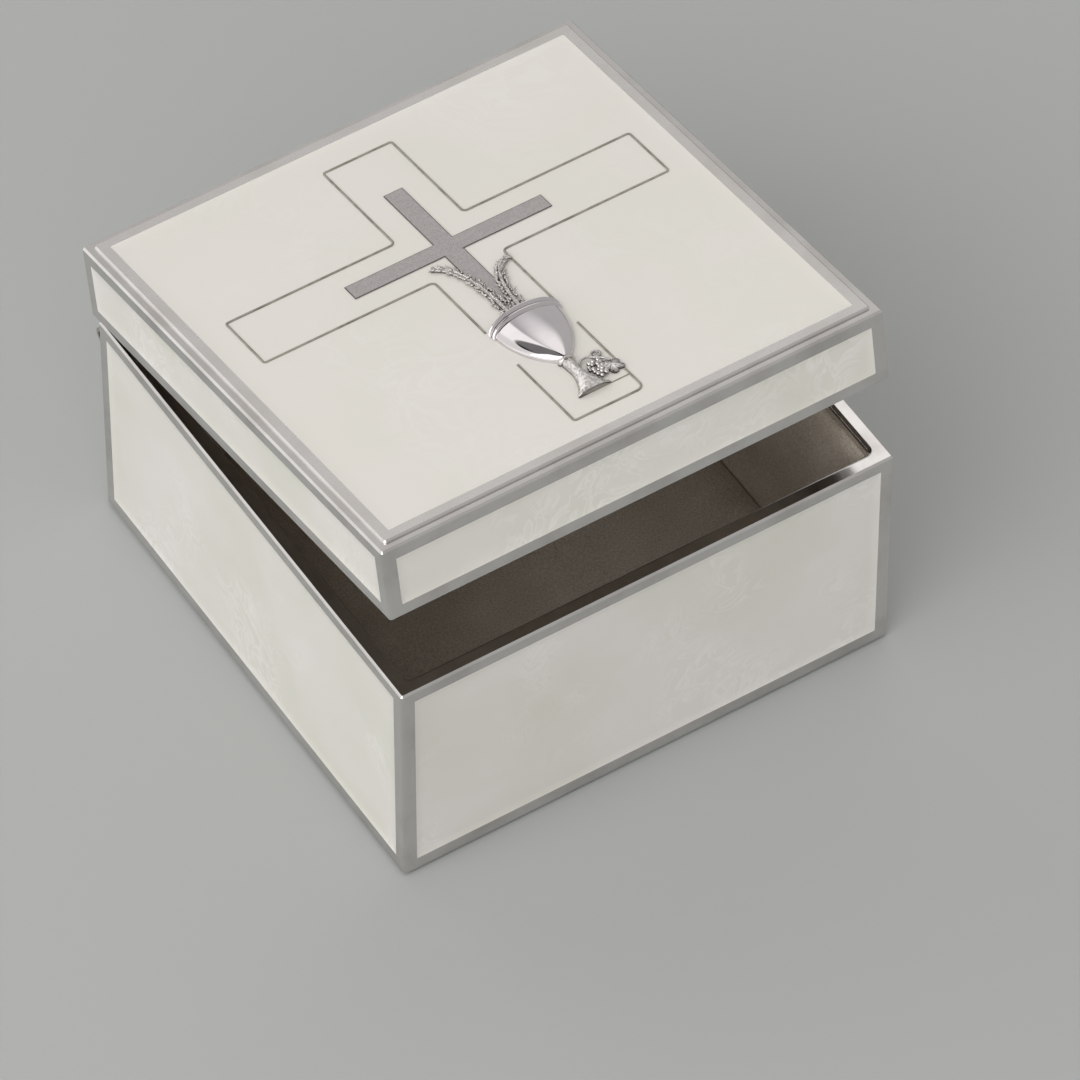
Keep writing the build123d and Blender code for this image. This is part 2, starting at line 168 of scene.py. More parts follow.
def add_node(
    tree: NodeTree,
    kind: str,
    inputs: NodeInputs | None = None,
    stops: Sequence[tuple[float, str]] = (),
    **settings: object,
) -> Node:
    """Adds a shader node with its settings and its links.

    Args:
        tree: the node tree.
        kind: the node's type, without the ShaderNode in front.
        inputs: socket name or number to a value, a hex colour, an output socket to link from, or a
            node whose first output is linked.
        stops: positions and hex colours of a colour ramp.
        settings: the node's own properties.

    Returns:
        The new node.
    """
    made = tree.nodes.new(f"ShaderNode{kind}")
    for name, value in settings.items():
        setattr(made, name, value)
    for name, value in (inputs or {}).items():
        if isinstance(value, (Node, NodeSocket)):
            tree.links.new(value.outputs[0] if isinstance(value, Node) else value, made.inputs[name])
        else:
            made.inputs[name].default_value = hex_colour(value) if isinstance(value, str) else value
    for place, (position, colour) in enumerate(stops):
        elements = made.color_ramp.elements
        element = elements[place] if place < 2 else elements.new(position)
        element.position = position
        element.color = hex_colour(colour)
    return made


def per_metre(size_mm: float) -> float:
    """Texture scale that gives a pattern its real size."""
    return 1.0 / (size_mm * MM)


@dataclass(frozen=True)
class Finish:
    """A finish: its name and the recipe of its surface."""

    name: str

    def surface(self, tree: NodeTree, place: NodeSocket) -> NodeInputs:
        """Adds the finish's own patterns and gives the inputs of the principled shader."""
        raise NotImplementedError

    def build(self) -> Material:
        """Makes the material.

        Returns:
            A node material whose patterns lie in the piece's own space.
        """
        material = bpy.data.materials.new(self.name)
        material.use_nodes = True
        tree = material.node_tree
        tree.nodes.clear()
        place = add_node(tree, "TexCoord").outputs["Object"]
        shader = add_node(tree, "BsdfPrincipled", self.surface(tree, place))
        add_node(tree, "OutputMaterial", {"Surface": shader})
        return material


@dataclass(frozen=True)
class SilverPlate(Finish):
    """Silver plate buffed over a zinc casting: clear soft reflections, a breath of tarnish, fine grain."""

    bright: str = "#DAD7D5"
    tarnish: str = "#C9C5C2"
    roughness: float = 0.11
    roughness_spread: float = 0.08
    cloud_mm: float = 9.0
    # The real grain is nearer 0.1 mm. It is drawn coarser so that it shows.
    grain_mm: float = 0.35
    grain_height_mm: float = 0.0015
    # Colour of the hollows, for relief work that carries a "lift" attribute: painted shade, partly oxide,
    # darkest where the relief is lowest.
    worn: str = ""

    def surface(self, tree: NodeTree, place: NodeSocket) -> NodeInputs:
        """Clouds of tarnish that also dull the plate, its grain, and dark hollows of painted shade, partly
        oxide.

        Args:
            tree: the material's node tree.
            place: where on the piece a pattern is read.

        Returns:
            The inputs of the principled shader.
        """
        cloud, grain = (
            add_node(tree, "TexNoise", {"Vector": place, "Scale": per_metre(size), **look})
            for size, look in (
                (self.cloud_mm, {"Detail": 4.0, "Roughness": 0.55}),
                (self.grain_mm, {"Detail": 3.0, "Roughness": 0.6}),
            )
        )
        colour = add_node(tree, "ValToRGB", {"Fac": cloud}, [(0.32, self.tarnish), (0.56, self.bright)])
        # Painted shade, partly oxide: the low parts of the relief are multiplied towards the hollow colour.
        if self.worn:
            lift = add_node(tree, "Attribute", attribute_name="lift").outputs["Fac"]
            depth = add_node(tree, "ValToRGB", {"Fac": lift}, [(0.05, self.worn), (0.6, "#FFFFFF")])
            colour = add_node(tree, "Mix", {"Factor": 1.0, 6: colour, 7: depth}, **MULTIPLY).outputs[2]
        dull = add_node(
            tree,
            "MapRange",
            {
                "Value": cloud,
                "From Min": 0.3,
                "From Max": 0.65,
                "To Min": self.roughness + self.roughness_spread,
                "To Max": self.roughness,
            },
        )
        height = self.grain_height_mm * MM
        bump = add_node(tree, "Bump", {"Height": grain, "Distance": height, "Strength": 1.0})
        return {"Base Color": colour, "Metallic": 1.0, "Roughness": dull, "Normal": bump}


@dataclass(frozen=True)
class StippledPewter(Finish):
    """Matte grey pewter ground, punched all over with fine dots, dark in the dots and along its edge."""

    ground: str = "#BFBABA"
    dots: str = "#A39D9D"
    edge: str = "#9A9694"
    # A real punch leaves dots of about 0.15 mm. They are drawn coarser so that they show.
    dot_mm: float = 0.24
    dot_height_mm: float = 0.03
    fleck_mm: float = 0.9

    def surface(self, tree: NodeTree, place: NodeSocket) -> NodeInputs:
        """Punched dots, faint flecks between them and a dark edge.

        Args:
            tree: the material's node tree.
            place: where on the piece a pattern is read.

        Returns:
            The inputs of the principled shader.
        """
        grid = {"Vector": place, "Scale": per_metre(self.dot_mm), "Randomness": 0.9}
        cells = add_node(tree, "TexVoronoi", grid)
        spread = {"Vector": place, "Scale": per_metre(self.fleck_mm), "Detail": 2.0, "Roughness": 0.6}
        fleck = add_node(tree, "TexNoise", spread)
        lift = add_node(tree, "Attribute", attribute_name="lift").outputs["Fac"]
        colour = add_node(tree, "ValToRGB", {"Fac": cells}, [(0.1, self.dots), (0.5, self.ground)])
        blot = add_node(tree, "ValToRGB", {"Fac": fleck}, [(0.35, "#F8F8F8"), (0.7, "#FFFFFF")])
        rim = add_node(tree, "ValToRGB", {"Fac": lift}, [(0.2, self.edge), (0.9, "#FFFFFF")])
        for shade in (blot, rim):
            colour = add_node(tree, "Mix", {"Factor": 1.0, 6: colour, 7: shade}, **MULTIPLY).outputs[2]
        bump = add_node(tree, "Bump", {"Height": cells, "Distance": self.dot_height_mm * MM, "Strength": 0.8})
        return {"Base Color": colour, "Metallic": 0.85, "Roughness": 0.55, "Normal": bump}


@dataclass(frozen=True)
class PearlEnamel(Finish):
    """Cold enamel with mica stirred in: a cream ground, thin pearly curls in it and a clear glossy skin."""

    ground: str = "#E0DCD5"
    pearl: str = "#E9E7E3"
    shade: str = "#DBD7CF"
    patch_mm: float = 26.0
    swirl_mm: float = 12.0
    curl_share: float = 0.5
    wave_mm: float = 7.0
    wave_height_mm: float = 0.01

    def surface(self, tree: NodeTree, place: NodeSocket) -> NodeInputs:
        """Stirred patches, pearly curls gathered here and there, and a faintly wavy clear skin.

        Args:
            tree: the material's node tree.
            place: where on the piece a pattern is read.

        Returns:
            The inputs of the principled shader.
        """
        eddies = {"Vector": place, "Scale": 0.7 * per_metre(self.swirl_mm), "Detail": 2.0, "Roughness": 0.5}
        warp = add_node(tree, "TexNoise", eddies).outputs["Color"]
        reach = (1.8 * self.swirl_mm * MM,) * 3
        push = add_node(tree, "VectorMath", {0: warp, 1: reach}, operation="MULTIPLY")
        stirred = add_node(tree, "VectorMath", {0: place, 1: push}, operation="ADD")
        cloud, strand, drift, wave = (
            add_node(tree, "TexNoise", {"Vector": where, "Scale": per_metre(size), **look})
            for where, size, look in (
                (stirred, self.patch_mm, {"Detail": 2.0, "Roughness": 0.45}),
                (stirred, 0.45 * self.swirl_mm, {"Detail": 2.0, "Roughness": 0.5, "Distortion": 1.8}),
                (place, 1.5 * self.swirl_mm, {"Detail": 1.0}),
                (place, self.wave_mm, {"Detail": 1.0, "Roughness": 0.4}),
            )
        )
        tint = add_node(tree, "ValToRGB", {"Fac": cloud}, [(0.38, self.shade), (0.6, self.ground)])
        edges = [(0.44, "#000000"), (0.5, "#FFFFFF"), (0.58, "#959595"), (0.72, "#000000")]
        curl = add_node(tree, "ValToRGB", {"Fac": strand}, edges)
        gathering = {"Value": drift, "From Min": 0.48, "From Max": 0.66, "To Max": self.curl_share}
        gathered = add_node(tree, "MapRange", gathering)
        shown = add_node(tree, "Math", {0: curl, 1: gathered}, operation="MULTIPLY")
        pearly = add_node(tree, "Mix", {"Factor": shown, 6: tint, 7: self.pearl}, data_type="RGBA")
        skin = add_node(tree, "Bump", {"Height": wave, "Distance": self.wave_height_mm * MM, "Strength": 1.0})
        swell = {"Height": cloud, "Distance": 0.06 * MM, "Strength": 0.4, "Normal": skin}
        flow = add_node(tree, "Bump", swell)
        return {
            "Base Color": pearly.outputs[2],
            "Roughness": 0.42,
            "IOR": 1.5,
            "Normal": flow,
            "Coat Weight": 0.6,
            "Coat Roughness": 0.07,
            "Coat Normal": skin,
        }


@dataclass(frozen=True)
class LiningVelvet(Finish):
    """Short cotton velvet: a taupe pile that lightens at a glancing angle, laid in soft patches."""

    pile: str = "#CBBFB0"
    laid: str = "#DBD0C2"
    # Real pile is nearer 0.1 mm thick. It is drawn coarser so that it shows.
    thread_mm: float = 0.28
    patch_mm: float = 11.0

    def surface(self, tree: NodeTree, place: NodeSocket) -> NodeInputs:
        """Patches where the pile lies one way or the other, and its threads.

        Args:
            tree: the material's node tree.
            place: where on the piece a pattern is read.

        Returns:
            The inputs of the principled shader.
        """
        patch, thread = (
            add_node(tree, "TexNoise", {"Vector": place, "Scale": per_metre(size), **look})
            for size, look in (
                (self.patch_mm, {"Detail": 3.0, "Roughness": 0.5}),
                (self.thread_mm, {"Detail": 2.0, "Roughness": 0.7}),
            )
        )
        tint = add_node(tree, "ValToRGB", {"Fac": patch}, [(0.35, self.pile), (0.68, self.laid)])
        shade = add_node(tree, "ValToRGB", {"Fac": thread}, [(0.3, "#C4C4C4"), (0.7, "#FFFFFF")])
        woven = add_node(tree, "Mix", {"Factor": 1.0, 6: tint, 7: shade}, **MULTIPLY)
        bump = add_node(tree, "Bump", {"Height": thread, "Distance": 0.12 * MM, "Strength": 0.8})
        return {
            "Base Color": woven.outputs[2],
            "Roughness": 0.9,
            "Sheen Weight": 0.35,
            "Sheen Roughness": 0.4,
            "Sheen Tint": "#CBBBAA",
            "Specular IOR Level": 0.2,
            "Normal": bump,
        }


@dataclass(frozen=True)
class WoolFelt(Finish):
    """Pressed wool felt: short matted fibres, no weave and no shine."""

    fibre: str = "#2B2A29"
    lint: str = "#4B4947"
    # Real fibres are a few hundredths of a millimetre. Their tufts are drawn so that they show.
    fibre_mm: float = 0.4

    def surface(self, tree: NodeTree, place: NodeSocket) -> NodeInputs:
        """Matted tufts with lint on them.

        Args:
            tree: the material's node tree.
            place: where on the piece a pattern is read.

        Returns:
            The inputs of the principled shader.
        """
        tufts = {"Scale": per_metre(self.fibre_mm), "Detail": 4.0, "Roughness": 0.7, "Distortion": 1.5}
        matted = add_node(tree, "TexNoise", {"Vector": place, **tufts})
        tint = add_node(tree, "ValToRGB", {"Fac": matted}, [(0.4, self.fibre), (0.75, self.lint)])
        bump = add_node(tree, "Bump", {"Height": matted, "Distance": 0.15 * MM, "Strength": 0.9})
        return {
            "Base Color": tint,
            "Roughness": 0.95,
            "Sheen Weight": 0.3,
            "Specular IOR Level": 0.2,
            "Normal": bump,
        }


@dataclass(frozen=True)
class MattePaper(Finish):
    """Uncoated backdrop paper: one even pale grey with no shine."""

    colour: str = "#B2B4B3"

    def surface(self, tree: NodeTree, place: NodeSocket) -> NodeInputs:
        """One even tone."""
        return {"Base Color": self.colour, "Roughness": 0.9, "Specular IOR Level": 0.2}


# ---------------------------------------------------------------- mesh helpers
def rounded_sheet(half_x: float, half_y: float, corner: float, step: float) -> BMesh:
    """A flat sheet with rounded corners, its cells crowded towards its outline.

    Args:
        half_x: half its width, in millimetres.
        half_y: half its height.
        corner: radius of its corners.
        step: size of a cell in its middle.

    Returns:
        The sheet, facing up.
    """
    crowding = 1.7
    cells_x = max(8, int(crowding * 2.0 * half_x / step))
    cells_y = max(8, int(crowding * 2.0 * half_y / step))
    bm = bmesh.new()
    bmesh.ops.create_grid(bm, x_segments=cells_x, y_segments=cells_y, size=1.0)
    for vertex in bm.verts:
        x = math.copysign(1.0 - (1.0 - min(abs(vertex.co.x), 1.0)) ** crowding, vertex.co.x) * half_x
        y = math.copysign(1.0 - (1.0 - min(abs(vertex.co.y), 1.0)) ** crowding, vertex.co.y) * half_y
        over_x = (abs(x) - (half_x - corner)) / corner
        over_y = (abs(y) - (half_y - corner)) / corner
        if over_x > 0.0 and over_y > 0.0:
            round_x = over_x * math.sqrt(1.0 - 0.5 * over_y * over_y)
            round_y = over_y * math.sqrt(1.0 - 0.5 * over_x * over_x)
            x = math.copysign(half_x - corner + corner * round_x, x)
            y = math.copysign(half_y - corner + corner * round_y, y)
        vertex.co = Vector((x, y, 0.0))
    return bm


def inset_from_outline(x: float, y: float, half_x: float, half_y: float, corner: float) -> float:
    """How far a point lies inside a rectangle with rounded corners.

    Args:
        x: place across.
        y: place up.
        half_x: half the rectangle's width.
        half_y: half its height.
        corner: radius of its corners.

    Returns:
        The distance to the outline, 0 on it.
    """
    over_x = abs(x) - (half_x - corner)
    over_y = abs(y) - (half_y - corner)
    if over_x > 0.0 and over_y > 0.0:
        return max(corner - math.hypot(over_x, over_y), 0.0)
    return max(min(half_x - abs(x), half_y - abs(y)), 0.0)


def close_back(bm: BMesh, depth: float) -> None:
    """Gives a sheet its walls and its back.

    Args:
        bm: an open sheet facing up.
        depth: level of the back below zero.
    """
    rim = [edge for edge in bm.edges if edge.is_boundary]
    made = bmesh.ops.extrude_edge_only(bm, edges=rim)["geom"]
    low = [item for item in made if isinstance(item, BMVert)]
    for vertex in low:
        vertex.co.z = -depth
    loop = [item for item in made if isinstance(item, BMEdge) and item.is_boundary]
    bmesh.ops.contextual_create(bm, geom=loop)
    bmesh.ops.recalc_face_normals(bm, faces=bm.faces)


def round_bar_mesh(points: Sequence[Vector], radius: float, sides: int = 8) -> Mesh:
    """A round wire along a smooth line.

    Args:
        points: places along the line, in millimetres.
        radius: half the wire's thickness.
        sides: faces round the wire.

    Returns:
        A closed mesh.
    """
    curve = bpy.data.curves.new("wire_line", "CURVE")
    curve.dimensions = "3D"
    curve.bevel_depth = radius
    curve.bevel_resolution = max(0, sides // 2 - 2)
    curve.use_fill_caps = True
    spline = curve.splines.new("NURBS")
    spline.points.add(len(points) - 1)
    for place, point in enumerate(points):
        spline.points[place].co = (*point, 1.0)
    spline.order_u = 3
    spline.use_endpoint_u = True
    spline.resolution_u = 4
    carrier = bpy.data.objects.new("wire_line", curve)
    mesh = bpy.data.meshes.new_from_object(carrier)
    bpy.data.objects.remove(carrier)
    bpy.data.curves.remove(curve)
    return mesh


def join_mesh(bm: BMesh, mesh: Mesh) -> None:
    """Adds a mesh to a bmesh and throws the mesh away."""
    bm.from_mesh(mesh)
    bpy.data.meshes.remove(mesh)


def inset(bm: BMesh, faces: Sequence[BMFace], thickness: float, depth: float = 0.0) -> list[BMFace]:
    """Draws a rim of a width inwards round a patch of faces, lifts the patch and gives back the rim."""
    even = {"use_even_offset": True, "use_boundary": True}
    return bmesh.ops.inset_region(bm, faces=faces, thickness=thickness, depth=depth, **even)["faces"]


def thicken(bm: BMesh, thickness: float, level: float) -> list[BMFace]:
    """Closes a flat shape to a body.

    Args:
        bm: the flat shape.
        thickness: of the body, in millimetres. At 0 its two faces lie together.
        level: where its top then lies.

    Returns:
        The faces of its top.
    """
    bmesh.ops.solidify(bm, geom=list(bm.faces), thickness=thickness)
    bmesh.ops.recalc_face_normals(bm, faces=bm.faces)
    top = max(vertex.co.z for vertex in bm.verts)
    bmesh.ops.translate(bm, verts=bm.verts, vec=(0.0, 0.0, level - top))
    return [face for face in bm.faces if face.normal.z > 0.9]


def store_lift(bm: BMesh, low: float, high: float) -> None:
    """Writes how high each corner stands, for finishes that paint shade and oxide into the hollows.

    Args:
        bm: the mesh, before it is placed.
        low: height that counts as 0.
        high: height that counts as 1.
    """
    layer = bm.verts.layers.float.get("lift") or bm.verts.layers.float.new("lift")
    for vertex in bm.verts:
        vertex[layer] = min(max((vertex.co.z - low) / (high - low), 0.0), 1.0)


# ---------------------------------------------------------------- sub-assemblies
@dataclass
class SubAssembly:
    """A group of pieces on one body, drawn in millimetres with the lid shut."""

    body: Body

    def put(
        self,
        bm: BMesh,
        name: str,
        material: Material,
        slot: Slot,
        replaces: Sequence[str] = (),
        place: Matrix = Matrix.Identity(4),
        smooth_angle: float = 35.0,
    ) -> Object:
        """Turns a bmesh to a finished piece.

        Args:
            bm: the mesh, in millimetres. It is freed.
            name: the piece's name.
            material: its material.
            slot: the slot that the material belongs to. It is not used.
            replaces: CAD nodes that the piece stands for.
            place: where the mesh lies on the shut box.
            smooth_angle: edges sharper than this, in degrees, stay sharp.

        Returns:
            The piece.
        """
        bmesh.ops.transform(bm, matrix=Matrix.Scale(MM, 4) @ REST[self.body] @ place, verts=bm.verts)
        limit = math.radians(smooth_angle)
        for face in bm.faces:
            face.smooth = True
        for edge in bm.edges:
            edge.smooth = not (edge.is_manifold and edge.calc_face_angle(0.0) > limit)
        mesh = bpy.data.meshes.new(name)
        bm.to_mesh(mesh)
        bm.free()
        mesh.materials.append(material)
        piece = bpy.data.objects.new(name, mesh)
        bpy.context.scene.collection.objects.link(piece)
        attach(piece, self.body.value)
        if replaces:
            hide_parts(*replaces)
        log.info("%s: %d faces", name, len(mesh.polygons))
        return piece


@dataclass
class Slab:
    """A thin slab with a shaped face: an enamel fill, a covered board or a pad. Sizes in millimetres."""

    width: float
    height: float
    corner: float
    depth: float
    step: float = 1.4
    # Its edge drops and its middle dishes, in a curve of this run and power.
    edge_drop: float = 0.0
    edge_run: float = 1.4
    edge_power: float = 2.0
    dish: float = 0.0
    # A hand cut outline, over a strip of this width.
    wobble: float = 0.0
    wobble_strip: float = 1.5
    wobble_rate: float = 0.9
    # Low swells of the face.
    wave_height: float = 0.0
    wave_size: float = 12.0
    sink: float = 0.02
    seed: float = 0.0
    top_edge_only: bool = False

    def mesh(self) -> BMesh:
        """Builds the slab.

        Returns:
            A closed mesh, its face looking along +Z at level 0.
        """
        half_x = self.width / 2.0
        half_y = self.height / 2.0
        bm = rounded_sheet(half_x, half_y, self.corner, self.step)
        for vertex in bm.verts:
            x, y = vertex.co.x, vertex.co.y
            inside = inset_from_outline(x, y, half_x, half_y, self.corner)
            near = 1.0 - smooth_step(inside / self.wobble_strip)
            ripple = noise.noise(Vector((x * self.wobble_rate, y * self.wobble_rate, self.seed)))
            draw_in = near * self.wobble * (1.0 + ripple)
            rise = min((half_y - y if self.top_edge_only else inside) / self.edge_run, 1.0)
            bend = (1.0 - rise) ** self.edge_power
            swell = 0.5 + 0.5 * noise.noise(Vector((x, y, self.seed * 5.0)) / self.wave_size)
            level = self.edge_drop * bend + self.dish * (1.0 - bend) + self.wave_height * swell * rise
            z = -self.sink - level
            vertex.co = Vector((x * (1.0 - draw_in / half_x), y * (1.0 - draw_in / half_y), z))
        close_back(bm, self.depth)
        return bm


@dataclass
class EnamelFills(SubAssembly):
    """The enamel in the side faces of one casting."""

    enamel: Material
    outer_width: float
    low: float
    high: dict[Side, float]
    prefix: str
    seed: float = 0.0
    recess: float = 0.7
    dish: float = 0.13

    def build(self) -> None:
        """Makes the four fills, each a little dished because the enamel shrinks as it sets."""
        width = self.outer_width - 2.0 * SIDE_BORDER
        for count, side in enumerate(Side):
            top = self.high[side]
            middle = (self.low + top) / 2.0
            centre = side.outward * (self.outer_width / 2.0) + Vector((0.0, 0.0, middle))
            form = Slab(width, top - self.low, 0.1, self.recess, dish=self.dish)
            slab = replace(form, wave_height=0.03, seed=1.7 * count + self.seed)
            name = f"{self.prefix}_{side.label}"
            place = upright_plane(side, centre)
            self.put(slab.mesh(), f"{name}_pearl", self.enamel, Slot.ENAMEL, [f"{name}_enamel"], place)


@dataclass
class Lining(SubAssembly):
    """Velvet covered boards and pads in one half of the box."""

    velvet: Material

    def cushion(self, slab: Slab, name: str, node: str, place: Matrix, fill: float) -> None:
        """Adds a padded piece in place of a CAD node. Its fill, the share of stuffing from 0 to 1, is not
        used.
        """
        piece = self.put(slab.mesh(), name, self.velvet, Slot.CLOTH, [node], place)


@dataclass
class BaseLining(Lining):
    """Covered boards on the inside walls, a floor pad, and the felt underneath."""

    felt: Material
    board: float = 1.2
    top: float = 37.3
    pocket_radius: float = 0.8
    pad_thickness: float = 2.4
    pad_gap: float = 0.2
    felt_width: float = 76.0

    def build(self) -> None:
        """Makes the boards, the pad and the felt."""
        height = self.top - FLOOR_TOP
        for count, side in enumerate(Side):
            along_x = side in (Side.FRONT, Side.BACK)
            middle = Vector((0.0, 0.0, FLOOR_TOP + height / 2.0))
            centre = side.outward * (INNER_WIDTH / 2.0 - self.board) + middle
            run = INNER_WIDTH - 2.0 * (self.pocket_radius if along_x else self.board)
            form = Slab(run, height, 0.5, self.board, 1.8, edge_drop=0.6, edge_run=2.4, top_edge_only=True)
            slab = replace(form, wave_height=0.1, wave_size=9.0, seed=21.0 + count)
            place = upright_plane(side.opposite, centre)
            self.cushion(slab, f"lining_{side.label}", f"base_{side.label}_lining", place, 0.3)
        width = INNER_WIDTH - 2.0 * (self.board + self.pad_gap)
        form = Slab(width, width, 1.6, self.pad_thickness, 1.6, edge_drop=1.5, edge_run=7.0, edge_power=2.4)
        pad = replace(form, wave_height=0.35, wave_size=16.0, seed=30.0)
        place = Matrix.Translation((0.0, 0.0, FLOOR_TOP + self.pad_thickness))
        self.cushion(pad, "floor_pad", "base_floor_pad", place, 0.6)
        form = Slab(self.felt_width, self.felt_width, 0.4, 1.0, 3.0, edge_drop=0.12, edge_run=0.4)
        felt = replace(form, wobble=0.08, sink=0.0, seed=35.0)
        down = Matrix.Rotation(math.pi, 4, "X")
        self.put(felt.mesh(), "underside_felt", self.felt, Slot.FELT, ["base_felt"], down)


@dataclass
class LidPad(Lining):
    """The velvet pad under the lid's roof."""

    thickness: float = 1.8
    gap: float = 0.4

    def build(self) -> None:
        """Makes the pad, facing down."""
        width = INNER_WIDTH - 2.0 * self.gap
        form = Slab(width, width, 1.6, self.thickness, 1.6, edge_drop=1.1, edge_run=6.0, edge_power=2.4)
        pad = replace(form, wave_height=0.25, wave_size=15.0, seed=41.0)
        level = Matrix.Translation((0.0, 0.0, LID_CEILING - self.thickness))
        self.cushion(pad, "lid_pad", "lid_lining_pad", level @ Matrix.Rotation(math.pi, 4, "X"), 0.5)


@dataclass
class CrossPlan:
    """Plan of the cross on the lid, in the lid's own plane."""

    top: float = 32.4
    foot: float = -34.0
    arm_y: float = 7.8
    half_span: float = 33.0
    shaft_width: float = 11.5
    arm_width: float = 10.7
    bar_top: float = 22.7
    bar_half_span: float = 16.0
    bar_width: float = 3.1
    rim_y: float = -12.2

    def face(self, half_shaft: float, half_arm: float, top: float, foot: float, half_span: float) -> BMesh:
        """A cross as one flat face.

        Args:
            half_shaft: half the shaft's width.
            half_arm: half the arms' width.
            top: upper end of the shaft.
            foot: lower end of the shaft.
            half_span: half the arms' length.

        Returns:
            The face, looking up.
        """
        low, high = self.arm_y - half_arm, self.arm_y + half_arm
        outline = [
            (half_shaft, foot),
            (half_shaft, low),
            (half_span, low),
            (half_span, high),
            (half_shaft, high),
            (half_shaft, top),
        ]
        outline += [(-x, y) for x, y in reversed(outline)]
        bm = bmesh.new()
        bm.faces.new([bm.verts.new((x, y, 0.0)) for x, y in outline])
        return bm


@dataclass
class LidTop(SubAssembly):
    """The enamel field on the lid with its cross outline and flat cross bar."""

    enamel: Material
    wire: Material
    stipple: Material
    plan: CrossPlan = field(default_factory=CrossPlan)
    wire_width: float = 0.33
    wire_stand: float = 0.05
    wire_corner: float = 0.55
    worn_corner: float = 1.2
    gap_top: float = -11.0
    left_gap: float = 8.2
    right_gap: float = 5.8
    # The chalice's ground line, a fine dark wire that is partly a painted shadow under its foot: where it
    # starts and its run, as shares of the shaft's half width.
    ground_and_shadow_line_y: float = -30.3
    ground_and_shadow_line_half: float = 0.08
    ground_and_shadow_line_start: float = -0.43
    ground_and_shadow_line_run: float = 1.42
    # The wire was bent by hand: it strays this far, over this length.
    drift: float = 0.05
    drift_size: float = 4.0
    wire_round: float = 0.07
    bar_chamfer: float = 0.06
    bar_edge: float = 0.14

    def build(self) -> None:
        """Makes the three pieces."""
        self.field_slab()
        self.outline()
        self.bar()

    def field_slab(self) -> None:
        """The enamel field."""
        form = Slab(FIELD_WIDTH, FIELD_WIDTH, 0.1, 0.6, 1.1, edge_run=1.8, dish=0.06)
        slab = replace(form, wave_height=0.03, wave_size=15.0, seed=50.0)
        self.put(slab.mesh(), "lid_top_pearl", self.enamel, Slot.ENAMEL, ["lid_top_enamel"], LID_FACE)

    def outline_strip(self) -> BMesh:
        """The cross's outline as a flat strip, broken on both sides of the chalice.

        Returns:
            The strip, facing up.
        """
        plan = self.plan
        bm = plan.face(plan.shaft_width / 2.0, plan.arm_width / 2.0, plan.top, plan.foot, plan.half_span)
        worn = [v for v in bm.verts if v.co.y < plan.foot + 1e-4 and v.co.x > 0.0]
        crisp = [v for v in bm.verts if v not in worn]
        round_off = {"offset_type": "OFFSET", "segments": 5, "profile": 0.5, "affect": "VERTICES"}
        for corners, radius in ((worn, self.worn_corner), (crisp, self.wire_corner)):
            bmesh.ops.bevel(bm, geom=corners, offset=radius, material=-1, **round_off)
        ring = set(inset(bm, list(bm.faces), self.wire_width))
        inner = [face for face in bm.faces if face not in ring]
        bmesh.ops.delete(bm, geom=inner, context="FACES")
        left_end, right_end = self.gap_top - self.left_gap, self.gap_top - self.right_gap
        for level in (self.gap_top, left_end, right_end):
            everything = list(bm.verts) + list(bm.edges) + list(bm.faces)
            bmesh.ops.bisect_plane(bm, geom=everything, plane_co=(0, level, 0), plane_no=(0, 1, 0))
        gone = []
        for face in bm.faces:
            middle = face.calc_center_median()
            end = left_end if middle.x < 0.0 else right_end
            if end < middle.y < self.gap_top:
                gone.append(face)
        bmesh.ops.delete(bm, geom=gone, context="FACES")
        return bm

    def outline(self) -> None:
        """A thin half round wire along the cross's outline, with a finer one as the chalice's ground line,
        partly a painted shadow under its foot.
        """
        bm = self.outline_strip()
        reach = self.plan.shaft_width / 2.0
        # The finer strip stands partly for the shadow under the chalice's foot: a painted shadow drawn as
        # wire.
        ground = bmesh.ops.create_grid(bm, x_segments=12, y_segments=1, size=1.0)["verts"]
        for vertex in ground:
            share = 0.5 + 0.5 * vertex.co.x
            thin = self.ground_and_shadow_line_half * (1.0 - 0.45 * share)
            x = reach * (self.ground_and_shadow_line_run * share + self.ground_and_shadow_line_start)
            vertex.co = Vector((x, self.ground_and_shadow_line_y + thin * vertex.co.y, 0.0))
        for vertex in bm.verts:
            x, y = vertex.co.x / self.drift_size, vertex.co.y / self.drift_size
            vertex.co.x += self.drift * noise.noise(Vector((x, y, 8.0)))
            vertex.co.y += self.drift * noise.noise(Vector((x, y, 16.0)))
        bmesh.ops.recalc_face_normals(bm, faces=bm.faces)
        bmesh.ops.reverse_faces(bm, faces=[face for face in bm.faces if face.normal.z < 0.0])
        crown = thicken(bm, 0.4, self.wire_stand * 0.3)
        inset(bm, crown, self.wire_round, self.wire_stand * 0.7)
        self.put(bm, "cross_wire", self.wire, Slot.WIRE, ["cross_outline"], LID_FACE, 60.0)

    def bar(self) -> None:
        """The flat cross bar: a thin plate laid on the lid, its ground stippled and its edge broken."""
        plan = self.plan
        half = plan.bar_width / 2.0
        bm = plan.face(half, half, plan.bar_top, plan.rim_y, plan.bar_half_span)
        crown = thicken(bm, 0.0, 0.0)
        inset(bm, crown, self.bar_chamfer, self.bar_chamfer)
        inset(bm, crown, self.bar_edge)
        layer = bm.verts.layers.float.new("lift")
        for face in crown:
            for vertex in face.verts:
                vertex[layer] = 1.0
        self.put(bm, "cross_stipple_bar", self.stipple, Slot.RELIEF, ["cross_bar"], LID_FACE, 20.0)


Profile = list[tuple[float, float]]


